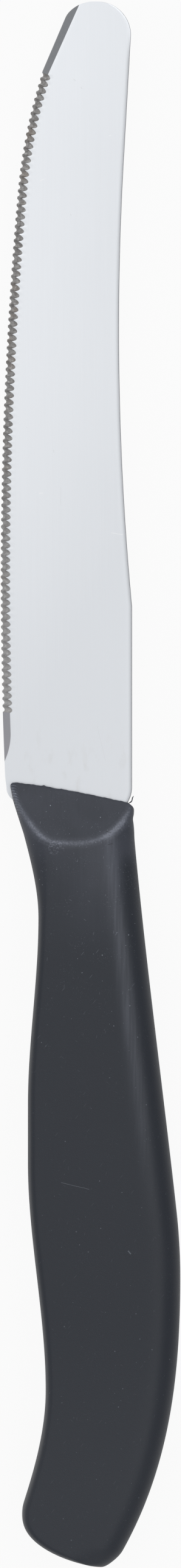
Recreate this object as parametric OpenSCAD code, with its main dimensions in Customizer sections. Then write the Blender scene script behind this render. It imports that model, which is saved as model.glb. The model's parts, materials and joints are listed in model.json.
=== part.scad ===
// Steak knife: a stamped, taper-ground blade with a fine serrated edge, and a
// handle moulded over its tang.
// While it is built, the knife lies flat with X = 0 on the line of the blade's
// back, Y = 0 where the lip of the handle meets that line, and Z = 0 in the
// middle of the thickness. The edge is at -X and the tip at +Y.

/* [Blade] */
// Length of the blade from the lip to the tip, along the line of the back
blade_l = 110.2; // [95:0.1:125]
// Width of the blade at its widest, from the line of the back to the edge
blade_w = 18.1; // [16:0.1:21]
// Thickness of the back where the blade leaves the handle
back_t = 1.0; // [0.8:0.05:1.6]
// Thickness of the back at the tip
tip_t = 0.75; // [0.6:0.05:0.8]
// Thickness of the blade at the edge before it is ground sharp
edge_t = 0.45; // [0.3:0.05:0.55]
// Distance from the lip to the widest point of the blade
belly_y = 31; // [20:1:45]
// Radius of the belly curve of the edge
belly_r = 600; // [450:10:900]
// Distance from the lip to the deepest point of the hollow in the back
hollow_y = 65.2; // [60:0.1:75]
// Depth of the hollow in the back
hollow_d = 1.8; // [0.5:0.05:2.2]
// Radius of the hollow in the back
hollow_r = 405; // [350:5:800]
// Distance from the tip to the end of the hollow, from where the back is straight
hollow_stop = 22; // [14:0.5:28]
// Radius of the tip on the edge side
nose_r = 5; // [3:0.1:6]
// Radius of the tip on the side of the back
nose_back_r = 4.6; // [2.5:0.1:5]
// Length of the flat between the two roundings of the tip
nose_flat = 0.5; // [0:0.1:2]
// Length of the tighter curve of the edge behind the tip
tip_curve_l = 26.2; // [24:0.1:32]
// Radius of the blade's lower corner on the edge side
heel_r = 2; // [1:0.1:3]
// How far in front of the lip the back starts to step in towards the tang
step_y = 2.2; // [1:0.1:4]
// Radius of the two curves of that step
step_r = 4; // [2:0.1:6]

/* [Ground edge] */
// Distance from the lip to the first tooth
teeth_from = 12.9; // [9:0.1:25]
// Distance from the tip to the last tooth
teeth_stop = 8.6; // [8:0.1:13]
// Spacing of the teeth along the edge
tooth_pitch = 0.985; // [0.9:0.005:1.6]
// Length of a tooth's flute on the face of the blade
tooth_l = 1.35; // [1.1:0.05:1.8]
// Radius of the wheel profile that grinds a flute
tooth_r = 0.6; // [0.53:0.01:0.9]
// How far a flute bites into the line of the edge
tooth_bite = 0.2; // [0.05:0.01:0.35]
// Angle at which the flutes lean towards the handle
tooth_slant = 8; // [0:1:18]
// Width of the plain bevel at the tip, next to the last tooth
tip_bevel_w = 0.9; // [0.7:0.05:1.6]
// Angle round the tip, from its foremost point, where that bevel runs out
tip_runout = 25; // [10:1:40]
// Width of the plain bevel at the heel, next to the first tooth
heel_bevel_w = 1.0; // [0.7:0.05:1.4]
// Length of that bevel up to where the grinding wheel lifts off
heel_bevel_l = 2.7; // [1:0.1:4]
// Radius of the grinding wheel that lifts off there
heel_wheel_r = 19; // [8:0.5:25]
// Thickness left at a sharpened edge
sharp_t = 0.03; // [0.02:0.01:0.1]

/* [Tang] */
// Length of the tang from the lip to its end
tang_l = 74; // [55:1:85]
// Width of the rounded end of the tang
tang_end_w = 6.5; // [5:0.1:8]
// How far the tang steps in from the line of the back
tang_step = 0.8; // [0.4:0.1:2]
// Plastic beside the tang at the neck of the handle
tang_cover = 2.6; // [2:0.1:3.2]
// Depth of the blade's shoulder behind the lip
shoulder_l = 2.6; // [2:0.1:4]
// Radius of the corner between the shoulder and the tang
root_r = 1.2; // [0.5:0.1:1.4]
// Diameter of the holes that anchor the tang
anchor_d = 3.6; // [2:0.1:4.5]
// Number of anchor holes
anchor_count = 3; // [2:1:3]
// Distance from the lip to the first anchor hole
anchor_first = 22; // [15:1:30]
// Distance from the last anchor hole to the end of the tang
anchor_end = 9; // [6:0.5:12]

/* [Handle] */
// Length of the handle from the lip to the butt
handle_l = 105.7; // [98:0.1:118]
// Thickness of the handle
handle_t = 9.6; // [8:0.1:13]
// Angle of the lip to the line across the blade
lip_angle = 10; // [4:1:14]
// Thickness of the lip
lip_t = 2.8; // [2.2:0.1:4]
// Radius of the two corners of the lip
lip_corner_r = 0.8; // [0.3:0.1:1.2]
// Radius of the lip's upper and lower edge
lip_edge_r = 0.25; // [0.1:0.05:0.5]
// How far the heel of the blade stands out past the lip
heel_proud = 0.6; // [0.2:0.1:1.5]
// How far the back of the blade stands out past the lip
back_proud = 0.1; // [0:0.1:0.6]
// Length of the ramp from the lip up to the full thickness
ramp_l = 7.3; // [5:0.1:12]
// Height over which the ramp rounds into the grip
ramp_blend = 0.5; // [0.2:0.1:1.2]
// How steeply the finger side falls in behind the lip
finger_slope = 0.2; // [0:0.05:0.4]
// Distance from the lip to the neck
neck_at = 18; // [14:0.5:24]
// Distance of the neck below the line of the back
neck_drop = 12.9; // [11:0.1:14]
// Distance from the lip to the fullest part of the grip
grip_at = 44; // [36:0.5:48]
// Length of the fullest part of the grip
grip_flat = 8; // [4:0.5:12]
// Distance of the fullest part of the grip below the line of the back
grip_drop = 14.35; // [13:0.05:17]
// Distance from the waist to the butt
waist_end = 23; // [18:0.5:28]
// Distance of the waist below the line of the back
waist_drop = 11.9; // [10:0.1:14]
// Distance from the beak to the butt
beak_end = 5.7; // [4:0.1:8]
// Distance of the beak below the line of the back
beak_drop = 15.3; // [13:0.1:18]
// How steeply the finger side falls out at the beak
beak_slope = 0.31; // [0.15:0.01:0.4]
// How much flatter the back is at the lip than along the grip
back_ease = 0.03; // [0:0.01:0.06]
// Distance from the hump of the back to the butt
hump_end = 41.7; // [36:0.1:46]
// Height of the hump above the line of the back
hump_rise = 6.65; // [4:0.05:9]
// Length over which the straight back rounds into the hump
hump_round = 9; // [5:0.5:14]
// Distance of the butt's corner below the line of the back
corner_drop = 2.0; // [0:0.1:4]
// How steeply the back falls in at the butt's corner
corner_slope = 0.54; // [0.3:0.01:0.7]
// Distance of the butt's lowest point below the line of the back
butt_drop = 5.1; // [4.5:0.1:8]
// Length of the rounding of the butt on the beak side
beak_round = 7; // [4:0.1:8]
// Length of the rounding of the butt on the back side
corner_round = 2.8; // [1.5:0.1:5]
// Length of the flat between the two roundings of the butt
butt_flat = 1.5; // [0:0.1:3]
// Width of the rounded rim on the finger side, at the lip
finger_rim_front = 10; // [6:0.1:12]
// Width of the rounded rim on the finger side, along the grip
finger_rim = 1.2; // [0.8:0.1:4]
// Fullness of the rim on the finger side, from 2 for an ellipse to 4 for a squarer one
finger_full = 3; // [2:0.1:4]
// Width of the rounded rim on the back, at the lip
back_rim_front = 30; // [15:0.5:32]
// Width of the rounded rim on the back, along the grip
back_rim = 5.5; // [3:0.1:8]
// Fullness of the rim on the back, from 2 for an ellipse to 4 for a squarer one
back_full = 3; // [2:0.1:4]
// Distance from the lip over which the rims narrow to those of the grip
rim_fade = 20; // [15:1:50]

/* [Fit] */
// Clearance between the tang and the plastic around it
mould_gap = 0.02; // [0.01:0.01:0.05]

/* [Hidden] */

steel = [0.84, 0.85, 0.87];
black_plastic = [0.17, 0.18, 0.2];

// Steps along the curves, and columns and rows of the handle's surface
arc_step = 6;
curve_steps = 24;
columns = 24;
lip_rows = 4;
ramp_rows = 14;
grip_rows = 30;
butt_rows = 16;
// Cutting blocks reach past the whole knife
reach = 2 * (blade_l + handle_l);

slope = tan(lip_angle);
lean = sqrt(1 + slope * slope);

// Half the thickness of the taper-ground blade, a plane in x and y
taper = (back_t - tip_t) / 2 / blade_l;
grind = (back_t / 2 - taper * belly_y - edge_t / 2) / blade_w;
function half_t(x, y) = back_t / 2 + grind * x - taper * y;

// An arc of radius r that bows out to x = apex at y = at
function bow(apex, at, r, y) = apex + r - sqrt(r * r - (y - at) * (y - at));
function edge_x(y) = bow(-blade_w, belly_y, belly_r, y);
hollow_from = hollow_y - sqrt(2 * hollow_r * hollow_d - hollow_d * hollow_d);
function hollow_x(y) = bow(-hollow_d, hollow_y, hollow_r, y);
straight_y = blade_l - hollow_stop;
straight_slope = tan(asin((straight_y - hollow_y) / hollow_r));
function back_x(y) = y < hollow_from ? 0
    : y < straight_y ? hollow_x(y)
    : hollow_x(straight_y) + straight_slope * (y - straight_y);

function spread(a, b, n) = [for (i = [0 : n]) a + (b - a) * i / n];
function arc(centre, r, a0, a1) = [for (a = spread(a0, a1, ceil(abs(a1 - a0) / arc_step)))
    centre + r * [cos(a), sin(a)]];

// The tip is a short flat between two arcs, of which one touches the back. The tip
// curve of the edge touches the belly curve at one end and the other arc at its far end.
nose_back_y = blade_l - nose_back_r;
nose_back = [back_x(nose_back_y) - nose_back_r, nose_back_y];
nose = [nose_back.x - nose_flat, blade_l - nose_r];
bend_y = blade_l - tip_curve_l;
bend_arc = asin((bend_y - belly_y) / belly_r);
bend = [edge_x(bend_y), bend_y];
bend_in = [cos(bend_arc), -sin(bend_arc)];
from_nose = bend - nose;
tip_curve_r = (nose_r * nose_r - from_nose * from_nose) / 2 / (bend_in * from_nose + nose_r);
tip_curve = bend + tip_curve_r * bend_in;
tip_curve_end = atan2(nose.y - tip_curve.y, nose.x - tip_curve.x);

// The heel's corner and the root of the tang touch the shoulder line, which runs
// parallel to the lip.
function shoulder_y(x) = -slope * x - shoulder_l;
heel_x = edge_x(0) + heel_r;
heel = [heel_x, shoulder_y(heel_x) + heel_r * lean];

// Outlines of the handle on the finger side and on the back. A station holds the
// distance from the lip, the place across the knife and the direction there, and
// the curve between two stations is a cubic.
lip_drop = -edge_x(0) - heel_proud;
hump_at = handle_l - hump_end;
waist_at = handle_l - waist_end;
beak_at = handle_l - beak_end;
corner_at = handle_l - corner_round / 2;
back_slope = (hump_rise + back_proud) / (hump_at - hump_round / 2);
hump_from = hump_at - hump_round;
finger_side = [
    [0, -lip_drop, finger_slope],
    [neck_at, -neck_drop, 0],
    [grip_at, -grip_drop, 0],
    [grip_at + grip_flat, -grip_drop, 0],
    [waist_at, -waist_drop, 0],
    [beak_at, -beak_drop, -beak_slope],
    [handle_l, -beak_drop - beak_slope * beak_end, 0]];
back_side = [
    [0, -back_proud, back_slope - back_ease],
    [hump_from, -back_proud + back_slope * hump_from, back_slope],
    [hump_at, hump_rise, 0],
    [corner_at, -corner_drop, -corner_slope],
    [handle_l, -corner_drop - corner_slope * (handle_l - corner_at), -corner_slope]];

function station(s, v, i = 0) = i > len(s) - 3 || v < s[i + 1][0] ? i : station(s, v, i + 1);
function cubic(a, b, h, t) =
    a[1] * (1 + 2 * t) * (1 - t) * (1 - t) + h * a[2] * t * (1 - t) * (1 - t)
    + b[1] * t * t * (3 - 2 * t) - h * b[2] * t * t * (1 - t);
function side(s, v) = let (i = station(s, v), h = s[i + 1][0] - s[i][0])
    cubic(s[i], s[i + 1], h, (v - s[i][0]) / h);

// The butt closes both sides with quarter ellipses, which end at its short flat.
function closing(v, l) = let (t = max(0, 1 - (handle_l - v) / l)) sqrt(max(0, 1 - t * t));
function outline(s, v, l, end) = end + (side(s, v) - end) * closing(v, l);
function finger_x(v) = outline(finger_side, v, beak_round, -butt_drop - butt_flat / 2);
function spine_x(v) = outline(back_side, v, corner_round, -butt_drop + butt_flat / 2);
// Length of the outline for each millimetre along the handle, which turns a width
// across the knife into a distance square to the outline
function pace(d) = sqrt(d * d + (1 + slope * d) * (1 + slope * d));
nudge = 0.01;
function finger_pace(v) = pace((finger_x(v) - finger_x(v - nudge)) / nudge);
function spine_pace(v) = pace((spine_x(v) - spine_x(v - nudge)) / nudge);

// Height of the handle above the middle plane: a flat grip with rounded rims, cut by the
// ramp that rises from the lip
function rim(t, full) = t < 1 ? pow(1 - pow(1 - max(0, t), full), 1 / full) : 1;
function blend_min(a, b, k) = let (h = max(0, k - abs(a - b))) min(a, b) - h * h / (4 * k);
function fade(front, grip, v) = let (t = min(1, v / rim_fade)) front + (grip - front) * t * (2 - t);
ramp_rise = (handle_t - lip_t) / 2 / ramp_l;
function height(finger, spine, v) = blend_min(
    handle_t / 2 * min(rim(finger / fade(finger_rim_front, finger_rim, v), finger_full),
        rim(spine / fade(back_rim_front, back_rim, v), back_full)),
    lip_t / 2 + ramp_rise * v, ramp_blend) - lip_round(lip_edge_r, v);

// One row of the handle's upper surface, from the finger side to the back. The corners
// and edges of the lip are rounded by the same arc, of radius r.
function lip_round(r, v) = let (d = max(0, r - v)) r - sqrt(r * r - d * d);
function row(v) = let (
        a = finger_x(v), b = spine_x(v),
        a_pace = finger_pace(v), b_pace = spine_pace(v),
        left = a + lip_round(lip_corner_r, v), right = b - lip_round(lip_corner_r, v))
    [for (i = [0 : columns]) let (
            x = left + (right - left) * (1 - cos(180 * i / columns)) / 2,
            z = i % columns == 0 ? 0 : height((x - a) / a_pace, (b - x) / b_pace, v))
        [x, -slope * x - v, z]];
function under(p) = [p.x, p.y, -p.z];
function ring(r) = concat(r, [for (i = [columns - 1 : -1 : 1]) under(r[i])]);

// The closer rows of the ramp reach past it by half its length.
butt_from = handle_l - beak_round;
ramp_to = 1.5 * ramp_l;
row_places = concat(
    spread(0, lip_corner_r, lip_rows),
    [for (v = spread(lip_corner_r, ramp_to, ramp_rows)) if (v > lip_corner_r) v],
    [for (v = spread(ramp_to, butt_from, grip_rows)) if (v > ramp_to) v],
    [for (a = spread(0, 90, butt_rows)) if (a > 0 && a < 90) butt_from + beak_round * sin(a)]);
rings = [for (v = row_places) ring(row(v))];
butt = [-butt_drop, slope * butt_drop - handle_l, 0];
handle_points = concat([for (r = rings) each r], [butt]);

// The middle of the knife's box, and its lowest face, are the origin.
x_low = min(-blade_w, min([for (p = handle_points) p.x]));
x_high = max([for (p = handle_points) p.x]);
y_low = min([for (p = handle_points) p.y]);
origin = [(x_low + x_high) / 2, (y_low + blade_l) / 2, -handle_t / 2];
module place() translate(-origin) children();

// Tang, from the step in the back to the wall of plastic at the neck
tang_left = -neck_drop + tang_cover;
tang_x = (tang_left - tang_step) / 2;
tang_end = [tang_x, -tang_l + tang_end_w / 2];
root_x = tang_left - root_r;
root = [root_x, shoulder_y(root_x) - root_r * lean];
step_turn = acos(1 - tang_step / 2 / step_r);
step_out = [-step_r, step_y];
step_in = [step_r - tang_step, step_y - 2 * step_r * sin(step_turn)];

// Outline of the stamped blank, blade and tang, grown by g all round
function blank_outline(g) = concat(
    arc(heel, heel_r + g, 270 - lip_angle, 180),
    [for (y = spread(heel.y, bend_y, curve_steps)) [edge_x(y) - g, y]],
    arc(tip_curve, tip_curve_r + g, 180 - bend_arc, tip_curve_end),
    arc(nose, nose_r + g, tip_curve_end, 90),
    arc(nose_back, nose_back_r + g, 90, 0),
    [for (y = spread(nose_back_y, step_y, curve_steps)) [back_x(y) + g, y]],
    arc(step_out, step_r + g, 0, -step_turn),
    arc(step_in, step_r - g, 180 - step_turn, 180),
    arc(tang_end, tang_end_w / 2 + g, 0, -180),
    arc(root, root_r - g, 0, 90 - lip_angle));

// Everything above the plane z = c + a x + b y
module above(c, a, b) {
    tilt = norm([a, b]);
    translate([0, 0, c])
        rotate(a = atan(tilt), v = [b, -a, 0])
            translate([-reach / 2, -reach / 2, 0])
                cube(reach);
}

anchor_pitch = (tang_l - anchor_first - anchor_end) / (anchor_count - 1);

// The blank with both faces ground to the taper and its anchor holes, grown by g all round
module blank(g) {
    difference() {
        linear_extrude(height = 2 * back_t, center = true)
            polygon(blank_outline(g));
        for (face = [0, 1])
            mirror([0, 0, face])
                above(back_t / 2 + g, grind, -taper);
        for (i = [0 : anchor_count - 1])
            translate([tang_x, -anchor_first - anchor_pitch * i, 0])
                cylinder(d = anchor_d - 2 * g, h = 3 * back_t, center = true, $fn = 48);
    }
}

// Place and inward direction on the edge, at a length s along it from the first tooth
teeth_arc = asin((teeth_from - belly_y) / belly_r);
teeth_end = asin((blade_l - teeth_stop - tip_curve.y) / tip_curve_r);
belly = [belly_r - blade_w, belly_y];
belly_l = length(belly_r, bend_arc - teeth_arc);
function length(r, a) = r * a * PI / 180;
function turn(r, s) = s / r * 180 / PI;
function on_edge(c, r, a) = [c.x - r * cos(a), c.y + r * sin(a), -a];
function edge_at(s) = s < belly_l ? on_edge(belly, belly_r, teeth_arc + turn(belly_r, s))
    : on_edge(tip_curve, tip_curve_r, bend_arc + turn(tip_curve_r, s - belly_l));
function inward(e, d) = [e.x + d * cos(e.z), e.y + d * sin(e.z)];

teeth_l = belly_l + length(tip_curve_r, teeth_end - bend_arc);
tooth_count = floor(teeth_l / tooth_pitch);

// One flute of the serration, a round groove that runs down from the face to the edge
module flute(e) {
    along = e.z - tooth_slant;
    p = inward([e.x, e.y, along], tooth_l);
    p_z = half_t(p.x, p.y);
    fall = atan(2 * p_z / (tooth_l - tooth_bite));
    translate([p.x, p.y, p_z])
        rotate([0, -fall, along])
            translate([0, 0, tooth_r])
                rotate([0, 90, 0])
                    cylinder(r = tooth_r, h = 4 * tooth_l, center = true, $fn = 48);
}

// The plain bevels reach to the middle of the flute beside them, so that no wall is left.
bevel_lap = tooth_pitch / 2;

// Frame of a flat ground through p on the face, along a line at the given angle, which
// falls to the sharp edge at a width w beyond p
module on_flat(p, angle, w) {
    p_z = half_t(p.x, p.y);
    fall = atan((2 * p_z - sharp_t) / w);
    translate([p.x, p.y, p_z])
        rotate(angle)
            rotate([-fall, 0, 0])
                children();
}

module tip_flat() {
    last = edge_at((tooth_count - 0.5) * tooth_pitch);
    p = inward(last, tip_bevel_w);
    along = nose + nose_r * [-sin(tip_runout), cos(tip_runout)] - p;
    on_flat(p, atan2(along.y, along.x), tip_bevel_w)
        translate([-bevel_lap, -tip_bevel_w, 0])
            cube([2 * teeth_stop, reach, reach]);
}

// The bevel at the heel is flat up to the place where the wheel lifts off in an arc.
heel_profile = concat([[bevel_lap, heel_wheel_r], [bevel_lap, 0]],
    arc([-heel_bevel_l, heel_wheel_r], heel_wheel_r, -90, -180));

module heel_flat() {
    first = edge_at(-tooth_pitch / 2);
    p = inward(first, heel_bevel_w);
    on_flat(p, first.z + 90, heel_bevel_w)
        rotate([90, 0, 0])
            linear_extrude(height = reach, center = true)
                polygon(heel_profile);
}

// Every second flute, so that the grooves of one pass stay clear of each other
module flutes(first) {
    for (i = [first : 2 : tooth_count - 1])
        flute(edge_at(i * tooth_pitch));
}

module blade() {
    color(steel)
        place()
            difference() {
                difference() {
                    blank(0);
                    flutes(0);
                }
                flutes(1);
                tip_flat();
                heel_flat();
            }
}

// The handle's skin: rings of points from the lip to the butt, closed by the lip's
// flat face in front and by a fan at the butt
module handle_form() {
    n = 2 * columns;
    m = len(rings);
    skin = [for (j = [0 : m - 2], i = [0 : n - 1]) let (
            a = j * n + i, b = j * n + (i + 1) % n)
        each [[a, b, b + n], [a, b + n, a + n]]];
    fan = [for (i = [0 : n - 1]) [(m - 1) * n + i, (m - 1) * n + (i + 1) % n, m * n]];
    lip = [[for (i = [n : -1 : 1]) i % n]];
    polyhedron(handle_points, concat(lip, skin, fan));
}

module handle() {
    color(black_plastic)
        place()
            difference() {
                handle_form();
                blank(mould_gap);
            }
}

blade();
handle();
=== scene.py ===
# %% [markdown]
# # A steak knife, dressed for the camera
# A steak knife of this kind has two pieces: a thin blade stamped from sheet steel, and a plastic
# handle moulded over its tang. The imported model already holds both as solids, in metres, lying flat
# with the tip towards +Y and the cutting edge towards -X. This lesson rebuilds their skins with
# numpy, finely enough for a close look, and then gives them finishes made of shader nodes.

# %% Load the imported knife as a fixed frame
import json
import math

import bpy
import numpy as np
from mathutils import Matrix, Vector

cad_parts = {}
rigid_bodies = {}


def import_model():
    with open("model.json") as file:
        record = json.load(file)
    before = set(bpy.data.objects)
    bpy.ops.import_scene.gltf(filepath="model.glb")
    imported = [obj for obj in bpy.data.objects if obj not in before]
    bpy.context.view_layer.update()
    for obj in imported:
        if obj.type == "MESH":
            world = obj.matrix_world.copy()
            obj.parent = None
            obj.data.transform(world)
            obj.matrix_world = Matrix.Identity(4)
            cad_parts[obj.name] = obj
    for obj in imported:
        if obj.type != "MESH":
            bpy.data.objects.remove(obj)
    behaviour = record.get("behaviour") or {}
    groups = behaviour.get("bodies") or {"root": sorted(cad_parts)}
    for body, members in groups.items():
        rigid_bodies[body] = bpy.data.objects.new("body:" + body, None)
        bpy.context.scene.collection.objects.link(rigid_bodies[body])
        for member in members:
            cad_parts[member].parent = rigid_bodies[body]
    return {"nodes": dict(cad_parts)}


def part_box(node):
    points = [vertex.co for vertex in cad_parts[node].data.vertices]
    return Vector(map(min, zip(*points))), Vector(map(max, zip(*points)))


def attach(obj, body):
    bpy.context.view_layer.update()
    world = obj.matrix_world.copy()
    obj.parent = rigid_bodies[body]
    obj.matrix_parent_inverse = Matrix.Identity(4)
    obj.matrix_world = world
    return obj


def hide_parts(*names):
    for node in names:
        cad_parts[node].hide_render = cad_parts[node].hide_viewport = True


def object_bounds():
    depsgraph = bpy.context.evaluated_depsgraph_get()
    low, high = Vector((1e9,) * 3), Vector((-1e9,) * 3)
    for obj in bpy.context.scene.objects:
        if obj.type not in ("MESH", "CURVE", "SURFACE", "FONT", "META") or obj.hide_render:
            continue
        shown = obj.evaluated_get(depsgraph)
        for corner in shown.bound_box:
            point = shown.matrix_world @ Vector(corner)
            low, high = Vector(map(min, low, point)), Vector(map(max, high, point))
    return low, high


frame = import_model()
cad_box = [list(corner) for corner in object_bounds()]
MM = 0.001
print("nodes:", sorted(frame["nodes"]), "CAD box in mm:", np.round(np.array(cad_box) / MM, 2).tolist())

# %% [markdown]
# ## Sizes of the blade
# The blade was drawn from arcs: a long belly for the edge, a tighter curve behind the tip, a shallow
# hollow in the back and two roundings at the nose. A mesh could be traced by hand, but arcs with named
# sizes keep the skin on the solid, so the same sizes are written here. X = 0 is the line of the back,
# Y = 0 the place where the handle's lip meets it, and Z = 0 the middle of the thickness.

# %% Blade sizes, mm
blade_l, blade_w = 110.2, 18.1
back_t, tip_t, edge_t, sharp_t = 1.0, 0.75, 0.45, 0.03
belly_y, belly_r, tip_curve_l = 31.0, 600.0, 26.2
hollow_y, hollow_d, hollow_r, hollow_stop = 65.2, 1.8, 405.0, 22.0
nose_r, nose_back_r, nose_flat = 5.0, 4.6, 0.5
heel_r, step_y, step_r = 2.0, 2.2, 4.0
lip_angle, shoulder_l = 10.0, 2.6
tang_l, tang_end_w, tang_step, tang_left, root_r = 74.0, 6.5, 0.8, -10.3, 1.2
handle_t = 9.6
slope, lean = math.tan(math.radians(lip_angle)), 1 / math.cos(math.radians(lip_angle))

taper = (back_t - tip_t) / 2 / blade_l
grind = (back_t / 2 - taper * belly_y - edge_t / 2) / blade_w


def half_t(x, y):
    """Half the thickness of the taper-ground sheet: a plane that falls towards the edge and the tip."""
    return back_t / 2 + grind * x - taper * y


# The row's origin in the drawing: the blade's box shows where its tip and its back went.
high = np.array(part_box("blade")[1]) / MM
origin = np.array([-high[0], blade_l - high[1], -handle_t / 2])
print("origin in the drawing, mm:", np.round(origin, 3))

# %% [markdown]
# ## Outline of the blade
# The sheet is stamped, so its outline is one closed curve. The skin is carried along it in rows across
# the blade, and a row only needs to know where its left and right ends are. Both sides rise steadily
# from the end of the tang to the tip, so each is kept as a list of points sorted by y, and a row's ends
# are read from it by interpolation.

# %% Arcs, belly and back


def arc(centre, r, a0, a1, n=60):
    """Points on a circle about centre, from angle a0 to a1 in degrees."""
    a = np.radians(np.linspace(a0, a1, n))
    return np.stack([centre[0] + r * np.cos(a), centre[1] + r * np.sin(a)], axis=1)


def edge_x(y):
    """The belly of the edge: an arc that bows out furthest at belly_y."""
    return -blade_w + belly_r - np.sqrt(belly_r ** 2 - (y - belly_y) ** 2)


def back_x(y):
    """The back: straight at the handle, then a hollow arc, then straight again to the tip."""
    hollow = hollow_r - hollow_d - np.sqrt(hollow_r ** 2 - (np.minimum(y, straight_y) - hollow_y) ** 2)
    return np.where(y < hollow_from, 0, hollow + straight_slope * np.maximum(0, y - straight_y))


straight_y = blade_l - hollow_stop
straight_slope = math.tan(math.asin((straight_y - hollow_y) / hollow_r))
hollow_from = hollow_y - math.sqrt(2 * hollow_r * hollow_d - hollow_d ** 2)

print("the back is straight up to, and again from, mm:", round(hollow_from, 1), round(straight_y, 1))

# %% Corners of the outline, and its two sides
heel_join, side_n = 1.5, 300

nose_back = np.array([float(back_x(blade_l - nose_back_r)) - nose_back_r, blade_l - nose_back_r])
nose = np.array([nose_back[0] - nose_flat, blade_l - nose_r])
bend_y = blade_l - tip_curve_l
bend_arc = math.asin((bend_y - belly_y) / belly_r)
bend = np.array([edge_x(bend_y), bend_y])
bend_in = np.array([math.cos(bend_arc), -math.sin(bend_arc)])
from_nose = bend - nose
tip_curve_r = (nose_r ** 2 - from_nose @ from_nose) / 2 / (bend_in @ from_nose + nose_r)
tip_curve = bend + tip_curve_r * bend_in
tip_curve_end = math.degrees(math.atan2(*(nose - tip_curve)[::-1]))

heel_x = edge_x(0) + heel_r
heel = (heel_x, -slope * heel_x - shoulder_l + heel_r * lean)
root_x = tang_left - root_r
root = (root_x, -slope * root_x - shoulder_l - root_r * lean)
tang_end = ((tang_left - tang_step) / 2, -tang_l + tang_end_w / 2)
step_turn = math.degrees(math.acos(1 - tang_step / 2 / step_r))
step_in = (step_r - tang_step, step_y - 2 * step_r * math.sin(math.radians(step_turn)))

belly_run = np.linspace(heel[1] + heel_join, bend_y, side_n)
left_side = np.vstack([
    arc(tang_end, tang_end_w / 2, -90, -180), arc(root, root_r, 0, 90 - lip_angle),
    arc(heel, heel_r, 270 - lip_angle, 180), np.stack([edge_x(belly_run), belly_run], axis=1),
    arc(tip_curve, tip_curve_r, 180 - math.degrees(bend_arc), tip_curve_end),
    arc(nose, nose_r, tip_curve_end, 90)])
back_run = np.linspace(step_y, blade_l - nose_back_r, side_n)
right_side = np.vstack([
    arc(tang_end, tang_end_w / 2, -90, 0), arc(step_in, step_r, 180, 180 - step_turn),
    arc((-step_r, step_y), step_r, -step_turn, 0), np.stack([back_x(back_run), back_run], axis=1),
    arc(nose_back, nose_back_r, 0, 90)])
print("tip curve radius, mm:", round(tip_curve_r, 1), "outline points:", len(left_side) + len(right_side))

# %% [markdown]
# ## The ground edge
# The edge is ground from one face only. A profiled wheel leaves a row of fine flutes, which lean a
# little towards the handle, and where a flute runs out through the far face it bites a scallop into the
# line of the edge. A plain bevel is left at the tip and another at the heel, where the round wheel lifts
# off. Sculpting ninety teeth would be slow. Here each is the same formula: length along the edge and
# distance from it become the phase of the flute, its floor is a circle across and a ramp along, and the
# surface of the blade is the lowest of the face, the floor and the two bevels.

# %% Length along the edge
teeth_from, teeth_stop, tooth_pitch = 12.9, 8.6, 0.985

belly = np.array([belly_r - blade_w, belly_y])
teeth_arc = math.asin((teeth_from - belly_y) / belly_r)
belly_l = belly_r * (bend_arc - teeth_arc)
teeth_end = math.asin((blade_l - teeth_stop - tip_curve[1]) / tip_curve_r)
tooth_count = int((belly_l + tip_curve_r * (teeth_end - bend_arc)) / tooth_pitch)


def along_edge(x, y):
    """Length along the edge from the first tooth, and distance in from it: polar coordinates about the
    centre of the belly, or of the tip curve for what lies past the bend."""
    past = (x - bend[0]) * -bend_in[1] + (y - bend[1]) * bend_in[0] > 0
    cx, cy = np.where(past, tip_curve[0], belly[0]), np.where(past, tip_curve[1], belly[1])
    r = np.where(past, tip_curve_r, belly_r)
    a = np.arctan2(y - cy, cx - x)
    s = np.where(past, belly_l + tip_curve_r * (a - bend_arc), belly_r * (a - teeth_arc))
    return s, r - np.hypot(x - cx, y - cy)


def edge_point(s):
    """Place on the edge at a length s, and the angle by which its inward direction is turned from +X."""
    on_belly = s < belly_l
    a = teeth_arc + s / belly_r if on_belly else bend_arc + (s - belly_l) / tip_curve_r
    c, r = (belly, belly_r) if on_belly else (tip_curve, tip_curve_r)
    return np.array([c[0] - r * math.cos(a), c[1] + r * math.sin(a)]), -a


print("teeth:", tooth_count)

# %% Flutes, as heights over the middle plane
tooth_l, tooth_r, tooth_bite, tooth_slant = 1.35, 0.6, 0.2, 8.0
lean_in, lean_cos = math.tan(math.radians(tooth_slant)), math.cos(math.radians(tooth_slant))
no_flute = 9


def flute_rise(s, d):
    """How far a flute's floor lies above its own lowest line: the sagitta of its round profile at the
    distance from that line, which leans towards the handle as it goes in. Beside the flutes it is
    no_flute, higher than any face."""
    phase = (s + d * lean_in) / tooth_pitch
    w = (phase - np.clip(np.round(phase), 0, tooth_count - 1)) * tooth_pitch * lean_cos
    rise = tooth_r - np.sqrt(np.maximum(0, tooth_r ** 2 - w ** 2))
    return np.where(np.abs(w) < tooth_r, rise, no_flute)


def flute_floor(x, y):
    """Height of the fluted surface: a ramp from the face, a tooth's length in, down through the far face
    a bite in from the edge, raised by the flute's round profile."""
    s, d = along_edge(x, y)
    to_go = tooth_l - d / lean_cos
    face = half_t(x, y) + grind * to_go
    fall = 2 * face / (tooth_l - tooth_bite)
    return face - to_go * fall + flute_rise(s, d) * np.sqrt(1 + fall ** 2)


print("thickness that a flute cuts through, mm:", round(2 * float(half_t(-blade_w, belly_y)), 2))

# %% Bevels at the tip and the heel
tip_bevel_w, tip_runout, heel_bevel_w = 0.9, 25.0, 1.0
heel_bevel_l, heel_wheel_r = 2.7, 19.0


def bevel(x, y, p, angle, w, lifts=False):
    """Height of a flat ground through p on the face, and the place along its line: it falls square to the
    line at that angle, to the sharp edge at a width w, and the wheel's arc is added where it lifts off."""
    run = (x - p[0]) * math.cos(angle) + (y - p[1]) * math.sin(angle)
    out = (y - p[1]) * math.cos(angle) - (x - p[0]) * math.sin(angle)
    fall = (2 * half_t(*p) - sharp_t) / w
    return half_t(*p) - out * fall + wheel_lift(run) * math.sqrt(1 + fall ** 2) * lifts, run


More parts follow.
